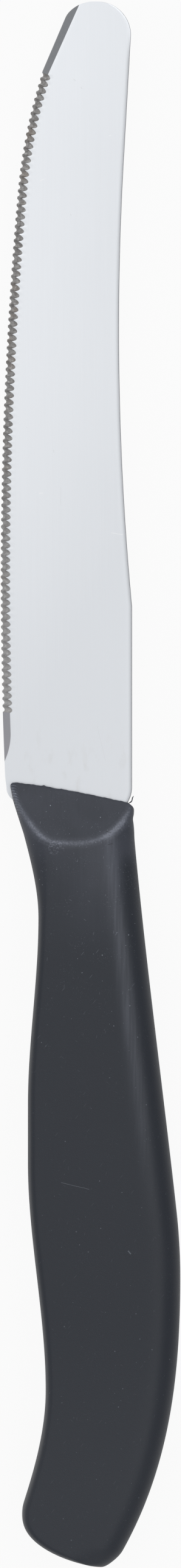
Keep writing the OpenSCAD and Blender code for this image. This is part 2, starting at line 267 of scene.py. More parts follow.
def wheel_lift(run):
    """Sagitta of the grinding wheel past the place where it lifts off the heel's bevel."""
    past = np.minimum(heel_wheel_r, np.maximum(0, -heel_bevel_l - run))
    return heel_wheel_r - np.sqrt(heel_wheel_r ** 2 - past ** 2)


last, last_turn = edge_point((tooth_count - 0.5) * tooth_pitch)
tip_p = last + tip_bevel_w * np.array([math.cos(last_turn), math.sin(last_turn)])
runout = math.radians(tip_runout)
tip_q = nose + nose_r * np.array([-math.sin(runout), math.cos(runout)])
tip_line = math.atan2(*(tip_q - tip_p)[::-1])
first, first_turn = edge_point(-tooth_pitch / 2)
heel_p = first + heel_bevel_w * np.array([math.cos(first_turn), math.sin(first_turn)])
heel_line = first_turn + math.pi / 2
print("lines of the bevels, degrees:", round(math.degrees(tip_line), 1), round(math.degrees(heel_line), 1))

# %% The upper face, bevelled and then fluted
bevel_lap, touch = tooth_pitch / 2, 1e-5


def bevelled(x, y):
    """The upper face before it is fluted: the lowest of the plain face, the bevel at the tip and the
    bevel at the heel, which ends where the grinding wheel lifts off."""
    tip, tip_run = bevel(x, y, tip_p, tip_line, tip_bevel_w)
    ground, run = bevel(x, y, heel_p, heel_line, heel_bevel_w, lifts=True)
    z = np.where((tip_run > -bevel_lap) & (y > bend_y), np.minimum(half_t(x, y), tip), half_t(x, y))
    return np.where((run < bevel_lap) & (y > 0) & (y < teeth_from), np.minimum(z, ground), z)


def fluted(x, y):
    """The same face with the flutes cut into it."""
    return np.where(y > 0, np.minimum(bevelled(x, y), flute_floor(x, y)), bevelled(x, y))


ground_off = half_t(-blade_w, belly_y) - fluted(-blade_w, belly_y)
print("ground off at the belly of the edge, mm:", round(float(ground_off), 2))

# %% [markdown]
# ## The blade's skin
# Each row is a ring: along the upper face from the edge to the back, round the two softened corners of
# the back, and home along the under face. Rows are close together where there are teeth and far apart on
# the tang. A boolean of ninety cutters would also give the teeth, but with slivers for faces. Here two
# columns are pulled on to the lines that matter, the scalloped edge and the line where the ground part
# meets the face, so that both stay crisp without a very fine grid.

# %% Ends of a row, and a search along it


def ends_at(y):
    """Left and right end of the rows at y, read from the two sides of the outline."""
    return tuple(np.interp(y, points[:, 1], points[:, 0]) for points in (left_side, right_side))


def furthest(test, x0, x1, y, n=500):
    """Along each row from x0 to x1, the last of n samples at which the test holds, or x0 if none does."""
    x = x0[:, None] + (x1 - x0)[:, None] * np.linspace(0, 1, n)[None, :]
    holds = test(x, y[:, None])
    at = np.where(holds.any(axis=1), n - 1 - np.argmax(holds[:, ::-1], axis=1), 0)
    return np.take_along_axis(x, at[:, None], axis=1)[:, 0]


print("width of the blade at its belly, mm:", round(float(np.ptp(ends_at(belly_y))), 2))

# %% Rows of the blade, and the two lines that its columns follow
tooth_rows, tip_soft = 16, 0.6
edge_search, crease_search = 0.6, 2.2
edge_gap, back_gap, back_soft = 0.04, 0.05, 0.12

teeth_to = last[1]
rows_y = np.concatenate([
    tang_end[1] - tang_end_w / 2 * np.cos(np.radians(np.linspace(3, 90, 12))),
    np.linspace(tang_end[1] + 1, -4, 24), np.linspace(-3.8, 3, 70), np.linspace(3.2, first[1] - 0.1, 120),
    np.linspace(first[1], teeth_to, tooth_count * tooth_rows),
    np.linspace(teeth_to - 0.6, teeth_to + 0.2, 40),
    np.linspace(teeth_to + 0.25, blade_l - nose_r - 0.1, 24),
    blade_l - nose_r + nose_r * np.sin(np.radians(np.linspace(0, 89.4, 90)))])
rows_y = np.unique(rows_y)
L, R = ends_at(rows_y)
edge_to, crease_to = np.minimum(L + edge_search, R), np.minimum(L + crease_search, R)
edge = furthest(lambda x, y: fluted(x, y) < sharp_t / 2 - half_t(x, y), L, edge_to, rows_y)
# Past the teeth the edge is averaged over a short reach, which rounds the corner at the tip.
reach = np.clip(np.minimum(rows_y - teeth_to - 0.3, (blade_l - rows_y) / 2), 0, tip_soft)
shifts = np.linspace(-1, 1, 13)
edge = np.mean([np.interp(rows_y + reach * shift, rows_y, edge) for shift in shifts], axis=0)
crease = furthest(lambda x, y: fluted(x, y) < half_t(x, y) - touch, L, crease_to, rows_y)
crease = np.clip(crease, edge + edge_gap, np.maximum(edge + back_gap, R - back_soft - back_gap))
print("rows:", len(rows_y), "widest ground part, mm:", round(float((crease - edge).max()), 2))

# %% Rings of the blade
ground_columns, face_columns, crease_step, far_off = 15, 18, 0.0006, 9

near = np.linspace(0, 1, ground_columns)[None, :]
far = np.append(crease_step, np.linspace(0, 1, face_columns)[1:])[None, :]
inner = R - back_soft
top_x = np.hstack([
    edge[:, None] + (crease - edge)[:, None] * near,
    crease[:, None] + (inner - crease)[:, None] * far])
top_y = np.broadcast_to(rows_y[:, None], top_x.shape)
top_z = np.maximum(fluted(top_x, top_y), sharp_t - half_t(top_x, top_y))
round_a = np.radians(np.linspace(0, 90, 6))[None, 1:]
corner_x = inner[:, None] + back_soft * np.sin(round_a)
corner_z = half_t(inner, rows_y)[:, None] - back_soft + back_soft * np.cos(round_a)
under_x = np.hstack([inner[:, None], edge[:, None] + (inner - edge)[:, None] * np.array([[0.5, 0.1, 0]])])
under_z = -half_t(under_x, rows_y[:, None])
ring_x = np.hstack([top_x, corner_x, corner_x[:, ::-1], under_x])
ring_z = np.hstack([top_z, corner_z, -corner_z[:, ::-1], under_z])
blade_grid = np.stack([ring_x, np.broadcast_to(rows_y[:, None], ring_x.shape), ring_z], axis=2)
depth, flute = np.zeros(ring_x.shape), np.zeros(ring_x.shape)
depth[:, :top_x.shape[1]] = half_t(top_x, top_y) - top_z
flute[:, :top_x.shape[1]] = bevelled(top_x, top_y) - fluted(top_x, top_y) > touch
from_back = np.clip(R[:, None] - ring_x, 0, far_off)
print("blade rings:", blade_grid.shape)

# %% [markdown]
# ## From a grid of points to a mesh
# Every piece here is a closed tube of rings, so one helper serves them all. Each face could be listed by
# hand, but on a grid a face is only a point, its neighbour and the two behind them. The helper joins every
# ring to the next with four-sided faces and caps the two end rings. Edges sharper than a set angle are
# marked, so that the rest shades smoothly. Extra numbers at each point go along as attributes that a
# material can read.

# %% Rings to mesh


def tube_mesh(name, grid, sharp_angle, **numbers):
    """Closes a grid of rings (row, point on ring, xyz, in drawing millimetres) into a mesh object: quads
    between neighbouring rings, a cap on each end ring, faces outward, nothing outside the CAD box."""
    rows, points = grid.shape[:2]
    index = np.arange(rows * points).reshape(rows, points)
    nxt = np.roll(index, -1, axis=1)
    quads = np.stack([index[:-1], index[1:], nxt[1:], nxt[:-1]], axis=2).reshape(-1, 4)
    faces = quads.tolist() + [index[0].tolist(), index[-1][::-1].tolist()]
    mesh = bpy.data.meshes.new(name)
    mesh.from_pydata(np.clip((grid.reshape(-1, 3) - origin) * MM, *cad_box).tolist(), [], faces)
    mesh.polygons.foreach_set("use_smooth", np.ones(len(mesh.polygons), bool))
    for label, values in numbers.items():
        layer = mesh.attributes.new(label, "FLOAT", "POINT")
        layer.data.foreach_set("value", np.ascontiguousarray(values, np.float32).ravel())
    mesh.set_sharp_from_angle(angle=math.radians(sharp_angle))
    mesh.update()
    piece = bpy.data.objects.new(name, mesh)
    bpy.context.scene.collection.objects.link(piece)
    return piece


print("mesh helper ready")

# %% Blade
# Rings are handed over from the tip down, as the handle's are from the lip down: then faces point out.
numbers = {"depth": depth[::-1], "flute": flute[::-1], "from_back": from_back[::-1]}
blade = tube_mesh("blade_skin", blade_grid[::-1], sharp_angle=24, **numbers)
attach(blade, "root")
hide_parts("blade")
print("blade faces:", len(blade.data.polygons))

# %% [markdown]
# ## The handle's form
# The handle is moulded. Seen from above, its finger side swells into the palm and hooks out at the beak,
# and its back rises in a long straight line to a hump. It could be a box that is subdivided and pushed
# about, but the solid was drawn as stations joined by cubics, and the same stations give the skin.
# Rows run parallel to the slanted lip, so v is the distance back from the lip.

# %% Stations of the handle's two sides
handle_l, heel_proud, back_proud, finger_slope, back_ease = 105.7, 0.6, 0.1, 0.2, 0.03
neck_at, neck_drop, grip_at, grip_flat, grip_drop = 18.0, 12.9, 44.0, 8.0, 14.35
waist_end, waist_drop, beak_end, beak_drop, beak_slope = 23.0, 11.9, 5.7, 15.3, 0.31
hump_end, hump_rise, hump_round = 41.7, 6.65, 9.0
corner_drop, corner_slope, corner_round = 2.0, 0.54, 2.8

lip_drop = -edge_x(0) - heel_proud
hump_at = handle_l - hump_end
hump_from = hump_at - hump_round
corner_at = handle_l - corner_round / 2
back_slope = (hump_rise + back_proud) / (hump_at - hump_round / 2)
finger_side = np.array([
    [0, -lip_drop, finger_slope], [neck_at, -neck_drop, 0], [grip_at, -grip_drop, 0],
    [grip_at + grip_flat, -grip_drop, 0], [handle_l - waist_end, -waist_drop, 0],
    [handle_l - beak_end, -beak_drop, -beak_slope], [handle_l, -beak_drop - beak_slope * beak_end, 0]])
back_side = np.array([
    [0, -back_proud, back_slope - back_ease],
    [hump_from, -back_proud + back_slope * hump_from, back_slope],
    [hump_at, hump_rise, 0], [corner_at, -corner_drop, -corner_slope],
    [handle_l, -corner_drop - corner_slope * (handle_l - corner_at), -corner_slope]])
print("lip drop, mm:", round(float(lip_drop), 2))

# %% Outline of the handle
beak_round, butt_drop, butt_flat = 7.0, 5.1, 1.5


def side(stations, v):
    """A cubic between each pair of stations, which holds their places and directions."""
    i = np.clip(np.searchsorted(stations[:, 0], v, side="right") - 1, 0, len(stations) - 2)
    a, b = stations[i], stations[i + 1]
    h = b[..., 0] - a[..., 0]
    t = (v - a[..., 0]) / h
    return (a[..., 1] * (1 + 2 * t) * (1 - t) ** 2 + h * a[..., 2] * t * (1 - t) ** 2
            + b[..., 1] * t ** 2 * (3 - 2 * t) - h * b[..., 2] * t ** 2 * (1 - t))


def outline(stations, v, l, end):
    """A side of the handle, closed at the butt by a quarter ellipse of length l that ends at its flat."""
    t = np.maximum(0, 1 - (handle_l - v) / l)
    return end + (side(stations, v) - end) * np.sqrt(np.maximum(0, 1 - t ** 2))


def finger_x(v):
    """Finger side of the outline."""
    return outline(finger_side, v, beak_round, -butt_drop - butt_flat / 2)


def spine_x(v):
    """Back of the outline."""
    return outline(back_side, v, corner_round, -butt_drop + butt_flat / 2)


print("width at the palm, mm:", round(float(spine_x(grip_at) - finger_x(grip_at)), 2))

# %% [markdown]
# ## The handle's skin
# Across, the grip is flat with rounded rims, a tight one along the fingers and a broad one along the
# back. At the front a flat ramp falls to the thin lip, and where it cuts the rounded grip it leaves the
# U-shaped ridge that catches the light. The height is the lower of the two, rounded together, and the
# rims are superellipses of the distance in from the outline.

# %% Rims, blends and roundings
finger_full, back_full, rim_fade = 3.0, 3.0, 20.0


def rim(t, full):
    """A quarter of a superellipse from the outline, t = 0, to the flat, t = 1."""
    return (1 - (1 - np.clip(t, 0, 1)) ** full) ** (1 / full)


def blend_min(a, b, k):
    """The lower of two heights, rounded together where they are closer than k."""
    h = np.maximum(0, k - np.abs(a - b))
    return np.minimum(a, b) - h * h / (4 * k)


def fade(front, grip, v):
    """A size that eases from its value at the lip to its value along the grip."""
    t = np.minimum(1, v / rim_fade)
    return front + (grip - front) * t * (2 - t)


def pace(f, v):
    """Length of an outline for each millimetre of v, which turns a width across the knife into a
    distance square to the outline."""
    d = (f(v) - f(v - 0.01)) / 0.01
    return np.sqrt(d ** 2 + (1 + slope * d) ** 2)


def lip_round(r, v):
    """How far a rounding of radius r cuts in at a distance v from the lip."""
    d = np.maximum(0, r - v)
    return r - np.sqrt(r ** 2 - d ** 2)


print("height of a rim at half its width, of 1:", round(float(rim(0.5, back_full)), 2))

# %% Heights of the grip and the ramp, and the ridge where they meet
lip_t, ramp_l = 2.8, 7.3
finger_rim_front, finger_rim = 10.0, 1.2
back_rim_front, back_rim = 30.0, 5.5


def grip_and_ramp(x, v):
    """Heights of the grip, with its two rims, and of the ramp."""
    finger = (x - finger_x(v)) / pace(finger_x, v) / fade(finger_rim_front, finger_rim, v)
    spine = (spine_x(v) - x) / pace(spine_x, v) / fade(back_rim_front, back_rim, v)
    grip = handle_t / 2 * np.minimum(rim(finger, finger_full), rim(spine, back_full))
    return grip, lip_t / 2 + (handle_t - lip_t) / 2 / ramp_l * v


def ridge_distance(x, v, h=0.02):
    """Distance in plan from the ridge where the ramp meets the grip: the difference of their heights
    over the steepness of that difference, positive on the ramp."""
    def gap(x, v):
        grip, ramp = grip_and_ramp(x, v)
        return grip - ramp
    here = gap(x, v)
    gx, gv = (gap(x + h, v) - here) / h, (gap(x, v + h) - here) / h
    return here / np.hypot(gx - slope * gv, gv)


print("rise of the ramp, degrees:", round(math.degrees(math.atan((handle_t - lip_t) / 2 / ramp_l)), 1))

# %% Grid of the handle's top
columns, spread = 96, 0.35
lip_corner_r, lip_edge_r, ramp_blend = 0.8, 0.25, 0.5

v_rows = np.unique(np.concatenate([
    np.linspace(0, 5.5, 112), np.linspace(5.5, 14, 70), np.linspace(14, handle_l - beak_round, 150),
    handle_l - beak_round + beak_round * np.sin(np.radians(np.linspace(0, 89.5, 40)))]))
across = (1 - np.cos(np.linspace(0, np.pi, columns + 1)))[None, :] / 2
across = across + spread * (across - 0.5) * (0.25 - (across - 0.5) ** 2) * 4
v_col = v_rows[:, None]
left = finger_x(v_col) + lip_round(lip_corner_r, v_col)
right = spine_x(v_col) - lip_round(lip_corner_r, v_col)
skin_x = left + (right - left) * across
skin_v = np.broadcast_to(v_col, skin_x.shape)
grip_z, ramp_z = grip_and_ramp(skin_x, skin_v)
skin_z = np.maximum(0, blend_min(grip_z, ramp_z, ramp_blend) - lip_round(lip_edge_r, skin_v))
from_ridge = ridge_distance(skin_x, skin_v)
print("handle grid:", skin_x.shape)

# %% [markdown]
# ## Marks of moulding
# Where the melt met the cold steel it froze in small flaws. A comb of tiny flow ridges runs along the
# finger end of the ramp, which flares a little, and a bead follows the ridge. The lip bows towards the tip
# and has a nib, the back swells and dips just behind the lip, and a thread of flash stands off its corner.
# They could be bump maps, but they show at the rim, so they move the points of the grid.

# %% Flow ridges and bead, as heights
comb_pitch, comb_l, comb_w, comb_h = 0.36, 5.5, 1.2, 0.07
comb_bend, comb_middle, comb_gap, comb_rise = 0.6, 0.45, 0.02, 0.15
comb_start, comb_fade = 0.3, 2
bead_h, bead_w, bead_l, bead_from, bead_fade = 0.07, 0.28, 12, 1.0, 1.5


def hill(t, at, width):
    """A smooth hill of height 1 at a place, of the given half width."""
    return np.exp(-((t - at) / width) ** 2)


inward_d = skin_x - left
bent_v = skin_v - comb_bend * (inward_d - comb_middle) ** 2
comb = np.sin(2 * np.pi * bent_v / comb_pitch) * np.clip(comb_w - inward_d, 0, 1) * (inward_d > comb_gap)
comb = comb * np.clip(skin_v / comb_start, 0, 1) * np.clip((comb_l - skin_v) / comb_fade, 0, 1)
skin_z = skin_z + comb_h * comb * np.clip(inward_d / comb_rise, 0, 1)
bead = bead_h * hill(from_ridge, 0, bead_w) * np.clip((skin_v - bead_from) / bead_fade, 0, 1)
skin_z = np.minimum(skin_z + bead * (skin_v < bead_l), handle_t / 2)
skin_z[:, [0, -1]] = 0
print("flow ridges:", round(comb_l / comb_pitch))

# %% Swellings, flare, bow and nib, as shifts in the plan
# Swellings of the back: the height, the distance from the lip and the half width of each.
swellings = ((0.13, 0.7, 0.5), (-0.1, 2.1, 0.5), (0.23, 1.4, 1.1), (0.07, 3.6, 1.0))
flare_h, flare_l, flare_fade, flare_start, end_share = 0.28, 6.8, 4.3, 2.5, 0.12
bow_h, bow_l, bow_full = 0.24, 3.0, 0.8
# The lip's nib and the dip beside it: height, place and half width. Its waves: height, pace and phase.
lip_bumps = ((0.14, -12.2, 0.2), (-0.05, -10.4, 0.5))
lip_waves = ((0.02, 3.1, 0), (0.015, 8.3, 1))

swell = sum(h * hill(skin_v, at, w) for h, at, w in swellings)
flare = flare_h * np.clip((flare_l - skin_v) / flare_fade, 0, 1)
flare = flare * (0.7 + 0.3 * np.clip(skin_v / flare_start, 0, 1))
skin_x = skin_x + swell * hill(across, 1, end_share) - flare * hill(across, 0, end_share)
bow = bow_h * np.sin(np.pi * np.clip(across, 0, 1) ** bow_full)
for height, at, width in lip_bumps:
    bow = bow + height * hill(skin_x, at, width)
for height, waves, phase in lip_waves:
    bow = bow + height * np.sin(waves * skin_x + phase)
skin_y = -slope * skin_x - skin_v + bow * np.clip(1 - skin_v / bow_l, 0, 1) ** 2
print("largest swelling, mm:", round(float(swell.max()), 2))

# %% Handle
crest_in, crest_w = 3.4, 0.9


def round_trip(top, sign=1):
    """Rows over the top from the finger side to the back, then home along the mirrored underside."""
    return np.hstack([top, sign * top[:, -2:0:-1]])


from_spine = (spine_x(skin_v) - skin_x) / pace(spine_x, skin_v)
crest = hill(from_spine, crest_in, crest_w) * np.clip(0.5 - from_ridge, 0, 1)
handle_grid = np.stack([round_trip(skin_x), round_trip(skin_y), round_trip(skin_z, -1)], axis=2)
numbers = {"ridge": np.clip(from_ridge, -far_off, far_off), "crest": crest, "comb": comb}
numbers = {label: round_trip(values) for label, values in numbers.items()}
handle = tube_mesh("handle_skin", handle_grid, sharp_angle=60, **numbers)
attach(handle, "root")
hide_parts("handle")
print("handle faces:", len(handle.data.polygons))

# %% Thread of flash
thread_w, thread_x0, thread_z0 = 0.11, -0.45, 0.95
thread_reach, thread_l, thread_lift = 0.75, 1.0, 0.25

thread_t = np.linspace(0, 1, 16)[:, None]
around = np.linspace(0, 2 * np.pi, 8, endpoint=False)[None, :]
thread_r = thread_w * np.sqrt(1 - 0.98 * thread_t ** 2) * (1 + 0.25 * np.sin(9 * thread_t))
thread_x = thread_x0 + thread_reach * thread_t + 0.1 * np.sin(5 * thread_t) + thread_r * np.cos(around)
thread_y = thread_l * thread_t ** 1.3 + thread_r * np.sin(around) * 0.3
thread_z = thread_z0 + thread_lift * thread_t + thread_r * np.sin(around)
thread_grid = np.stack(np.broadcast_arrays(thread_x, thread_y, thread_z), axis=2)
thread = tube_mesh("flash_thread", thread_grid, sharp_angle=80)
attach(thread, "root")
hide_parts("handle")
print("thread faces:", len(thread.data.polygons))

# %% [markdown]
# ## A small language for shader nodes
# A finish is arithmetic on noise, distance and place. Wiring dozens of nodes by hand hides the
# arithmetic, so a socket is wrapped in a small class whose operators add Math nodes. Every other node is
# made by one method: its type, its settings, and then the values or links of its sockets.

# %% Sockets that work like numbers


class Sock:
    """An output socket. Operators on it, with numbers or other sockets, add Math nodes."""

    def __init__(self, tree, out):
        self.tree, self.out = tree, out

    @classmethod
    def make(cls, tree, kind, settings=None, sockets=None, out=0):
        """Adds a node of a kind, sets it up, then fills its sockets with links or values."""
        node = tree.nodes.new(kind)
        for key, value in (settings or {}).items():
            setattr(node, key, value)
        for key, value in (sockets or {}).items():
            if isinstance(value, Sock):
                tree.links.new(value.out, node.inputs[key])
            else:
                node.inputs[key].default_value = value
        return cls(tree, node.outputs[out])

    def math(self, operation, *others):
        """A Math node on this socket and the others."""
        values = dict(enumerate((self, *others)))
        return Sock.make(self.tree, "ShaderNodeMath", {"operation": operation}, values)

    def __add__(self, o): return self.math("ADD", o)
    def __radd__(self, o): return self.math("ADD", o)
    def __sub__(self, o): return self.math("SUBTRACT", o)
    def __rsub__(self, o): return (self * -1) + o
    def __mul__(self, o): return self.math("MULTIPLY", o)
    def __rmul__(self, o): return self.math("MULTIPLY", o)
    def __truediv__(self, o): return self.math("DIVIDE", o)
    def __pow__(self, o): return self.math("POWER", o)

    def step(self, a, b):
        """0 below a, 1 above b, and a smooth step between, for a < b or the other way for a > b."""
        return Sock.make(self.tree, "ShaderNodeMapRange", {"interpolation_type": "SMOOTHSTEP"},
                         {"Value": self, "From Min": min(a, b), "From Max": max(a, b),
                          "To Min": 0.0 if a < b else 1.0, "To Max": 1.0 if a < b else 0.0})


print("sockets ready")

# %% A finish with its place, noises and mixes at hand


class Finish:
    """A material with its place in millimetres, its noises and its mixes at hand."""

    def __init__(self, name):
        self.material = bpy.data.materials.new(name)
        self.material.use_nodes = True
        self.tree = self.material.node_tree
        self.shader = self.tree.nodes["Principled BSDF"]
        self.place = self.node("ShaderNodeVectorMath", {"operation": "SCALE"},
                               {0: self.node("ShaderNodeTexCoord", out="Object"), "Scale": 1 / MM})
        self.x, self.y, self.z = (
            self.node("ShaderNodeSeparateXYZ", {}, {0: self.place}, out=i) for i in range(3))

    def node(self, kind, settings=None, sockets=None, out=0):
        """Any node, by its type, settings and sockets."""
        return Sock.make(self.tree, kind, settings, sockets, out)

    def noise(self, scale, detail=2.0, stretch=(1, 1, 1), rough=0.5):
        """Noise with its scale per millimetre, stretched along the axes."""
        where = self.node("ShaderNodeVectorMath", {"operation": "MULTIPLY"}, {0: self.place, 1: stretch})
        sockets = {"Vector": where, "Scale": scale, "Detail": detail, "Roughness": rough}
        return self.node("ShaderNodeTexNoise", {}, sockets, out="Fac")

    def number(self, name):
        """A number that the mesh carries at each point."""
        return self.node("ShaderNodeAttribute", {"attribute_name": name}, out="Fac")

    def mix(self, fac, a, b):
        """Colour a turning to colour b."""
        return self.node("ShaderNodeMix", {"data_type": "RGBA"}, {0: fac, 6: a, 7: b}, out=2)

    def bump(self, height, distance, strength):
        """A Bump node, with its distance in metres."""
        sockets = {"Height": height, "Distance": distance, "Strength": strength}
        return self.node("ShaderNodeBump", {}, sockets)

    def done(self, **sockets):
        """Fills the shader's own sockets, spaces written as underscores."""
        for key, value in sockets.items():
            socket = self.shader.inputs[key.replace("_", " ")]
            if isinstance(value, Sock):
                self.tree.links.new(value.out, socket)
            else:
                socket.default_value = value


def grey(r, g=None, b=None):
    """A colour with full alpha."""
    return (r, r if g is None else g, r if b is None else b, 1.0)


print("plain finish ready")

# %% A finish with marks of use


class UsedFinish(Finish):
    """A finish that can also have specks, scratches and soft patches."""

    def specks(self, scale, radius, stretch=(1, 1, 1), turn=0.0):
        """Scattered specks: the hearts of random cells, which lie at all depths and so show at all sizes.
        Stretched cells, turned about Z, give short fibres."""
        turned = self.node("ShaderNodeVectorRotate", {"rotation_type": "Z_AXIS"},
                           {"Vector": self.place, "Angle": turn})
        where = self.node("ShaderNodeVectorMath", {"operation": "MULTIPLY"}, {0: turned, 1: stretch})
        cell = self.node("ShaderNodeTexVoronoi", {}, {"Vector": where, "Scale": scale}, out="Distance")
        return cell.step(radius, 0.6 * radius)

    def scratch(self, a, b, width):
        """A thin mark from a to b, in millimetres on the plan, from the distance to their segment."""
        (ax, ay), (bx, by) = a, b
        length = math.hypot(bx - ax, by - ay)
        ux, uy = (bx - ax) / length, (by - ay) / length
        wobble = (self.noise(1.5) - 0.5) * width * 3
        run, off = (self.x - ax) * ux + (self.y - ay) * uy, (self.y - ay) * ux - (self.x - ax) * uy
        past = (run * -1).math("MAXIMUM", run - length).math("MAXIMUM", 0.0)
        return (off + wobble).math("ABSOLUTE").math("MAXIMUM", past).step(width, width * 0.3)

    def scratches(self, *marks):
        """Several such marks, each with its two ends and its width."""
        return sum((self.scratch(*mark) for mark in marks[1:]), self.scratch(*marks[0]))

    def patch(self, at, size):
        """A soft elliptical patch on the plan: 1 at its middle, 0 at its rim."""
        far = ((self.x - at[0]) / size[0]) ** 2 + ((self.y - at[1]) / size[1]) ** 2
        return far.step(1.0, 0.1)


print("finish with marks ready")

# %% [markdown]
# ## Steel
# The faces are satin: fine polishing lines run along the blade, the sheet has faint clouds, smudges near
# the handle and a few single marks, dark ones and light ones brightened by a painted glint. Painted shade
# darkens the faces towards the back and the heel, and the corner of the back, tumbled round, carries a soft
# dark line of painted shade.
# The flutes are rougher and greyer, mottled by the wheel, with a few painted glints, and the plain bevels
# are dark.
# A picture of brushed metal could be wrapped on, but stretched noise gives the lines at any distance. The
# mesh carries the depth of the grind and the distance from the back, and they say which finish goes where.

# %% Satin faces
steel = UsedFinish("satin_steel")
ground = steel.number("depth").step(0.002, 0.02)
streaks = steel.noise(4.0, 3.0, (1, 0.015, 1))
clouds = steel.noise(0.05, 2.0)
to_back = steel.x.step(-12.0, 6.0)
to_heel = steel.y.step(60.0, -3.0)
# Painted shade: the faces are darker towards the back and towards the heel.
face_mix = (streaks - 0.5) * 0.2 + (clouds - 0.5) * 0.2 + 0.85 - to_back * 0.5 - to_heel * 0.85
face_colour = steel.mix(face_mix, grey(0.74, 0.765, 0.80), grey(0.84, 0.865, 0.90))
smudge = steel.noise(0.8, 4.0, (1, 0.5, 1)).step(0.52, 0.75) * steel.y.step(12.0, -1.0)
marks = steel.scratches(
    ((-4.1, 40.8), (-4.1, 38.3), 0.03), ((-2.3, 96.9), (-2.1, 96.7), 0.06),
    ((-1.3, 95.8), (-1.15, 95.6), 0.06), ((0.9, 8.0), (2.1, 3.1), 0.02),
    ((-2.7, 78.3), (-2.65, 78.2), 0.07), ((-5.1, 45.9), (-5.05, 45.6), 0.05))
# Short light scratches: the marks are real, and their near-white colour is a painted glint.
glints = steel.scratches(
    ((-7.1, 40.0), (-6.6, 40.0), 0.05), ((-6.9, 82.9), (-6.4, 83.2), 0.05),
    ((2.6, 89.1), (2.8, 89.2), 0.06), ((2.9, 34.5), (4.4, 34.3), 0.05))
nicks = steel.specks(0.45, 0.02)
face_colour = steel.mix(smudge * 0.45, face_colour, grey(0.66, 0.67, 0.68))
dark_marks = (marks * 0.25 + nicks * 0.3).math("MINIMUM", 1.0)
face_colour = steel.mix(dark_marks, face_colour, grey(0.45, 0.45, 0.46))
face_colour = steel.mix(glints * 0.6, face_colour, grey(0.96, 0.96, 0.96))
# Painted shade: a soft dark line along the rounded corner of the back, which fades out before the nose.
rim_shade = steel.number("from_back").step(1.1, 0.0) ** 4 * steel.y.step(104.0, 99.0)
face_colour = steel.mix(rim_shade * 0.5, face_colour, grey(0.1, 0.1, 0.11))
print("nodes for the faces:", len(steel.tree.nodes))

# %% Ground flutes and bevels
toothed = steel.number("flute").step(0.2, 0.8)
mottle = steel.noise(2.6, 3.0, (1, 1, 1), 0.6)
grit = steel.noise(11.0, 2.0, (0.6, 1.6, 1))
rust = steel.noise(0.35, 2.0)
tooth_colour = steel.mix(mottle.step(0.3, 0.7), grey(0.25, 0.24, 0.235), grey(0.42, 0.415, 0.41))
tooth_colour = steel.mix(rust.step(0.5, 0.75) * 0.5, tooth_colour, grey(0.34, 0.29, 0.25))
tooth_colour = steel.mix(to_heel * 0.45, tooth_colour, grey(0.62, 0.62, 0.63))
# Painted glints: bright spots on the flutes where the mottle and grit noises peak.
sparkle = (mottle * 0.5 + grit * 0.5).step(0.60, 0.68)
tooth_colour = steel.mix(sparkle * 0.7, tooth_colour, grey(0.90, 0.90, 0.89))
lines = steel.noise(9.0, 2.0, (1, 0.05, 1))
to_tip = steel.y.step(0.0, 60.0)
bevel_colour = steel.mix(to_tip, grey(0.405, 0.405, 0.435), grey(0.285, 0.297, 0.315))
lined = (lines - 0.5) * 0.3 + (mottle - 0.5) * 0.2 + 0.1
bevel_colour = steel.mix(lined, bevel_colour, grey(0.45, 0.45, 0.47))
cut_colour = steel.mix(toothed, bevel_colour, tooth_colour)
steel_bump = steel.bump(streaks * (1 - ground) * 0.15 + (mottle + grit * 0.6) * toothed, 0.00006, 0.5)
steel.done(
    Base_Color=steel.mix(ground, face_colour, cut_colour),
    Metallic=1.0,
    Roughness=0.30 + (streaks - 0.5) * 0.04 + (clouds - 0.5) * 0.03 + smudge * 0.06 + ground * 0.12,
    Normal=steel_bump)
blade.data.materials.append(steel.material)
print("steel nodes:", len(steel.tree.nodes))

# %% [markdown]
# ## Black plastic
# The handle is black moulded plastic with a satin skin and a trace of blue in it. A painted sheen makes it
# greyer towards the blade, and a little painted light makes it paler at the butt. Wear of hands has turned
# the U-shaped ridge and the crest of the back a lighter, mottled grey, and a painted highlight lightens
# them further, as it does the crests of the flow ridges. Dust and short fibres cling to it, and it has a
# few scratches. Wear could be painted by hand, but the distance from the ridge and from the crest, which
# the mesh carries, says where hands rub and where the highlight lies. Noise sets the grain, and the single
# marks are drawn as segments.

# %% Plastic and its painted sheen
plastic = UsedFinish("satin_black_plastic")
grain = plastic.noise(6.0, 2.0)
coarse = plastic.noise(1.8, 3.0, (1, 1, 1), 0.6)
fine = plastic.noise(4.5, 3.0, (1, 1, 1), 0.65)
haze = plastic.noise(0.12, 3.0)
along = plastic.noise(1.2, 3.0, (2.5, 0.12, 1))
upper = plastic.y.step(-45.0, -8.0)
# Painted sheen: lighter towards the blade, weaker towards the finger side and none on the back's rim,
# except for the last few millimetres at the lip.
sheen_window = (0.25 + plastic.x.step(-8.0, 0.0) * 0.75) * plastic.x.step(5.4, 3.0)
painted_sheen = plastic.y.step(-26.0, -8.0) * (1 - plastic.y.step(-8.0, -12.0) * (1 - sheen_window))
body = plastic.mix(haze, grey(0.008, 0.0125, 0.0225), grey(0.012, 0.0165, 0.0265))
sheen_share = painted_sheen * (0.9 + (haze - 0.5) * 1.6 + (along - 0.5) * 0.4)
body = plastic.mix(sheen_share, body, grey(0.037, 0.043, 0.060))
# Painted light: the handle is painted a little paler towards the butt.
body = plastic.mix(plastic.y.step(-70.0, -100.0) * 0.2, body, grey(0.037, 0.043, 0.055))
print("nodes for the body:", len(plastic.tree.nodes))

# %% Wear and painted highlights
ridge_d = plastic.number("ridge").math("ABSOLUTE")
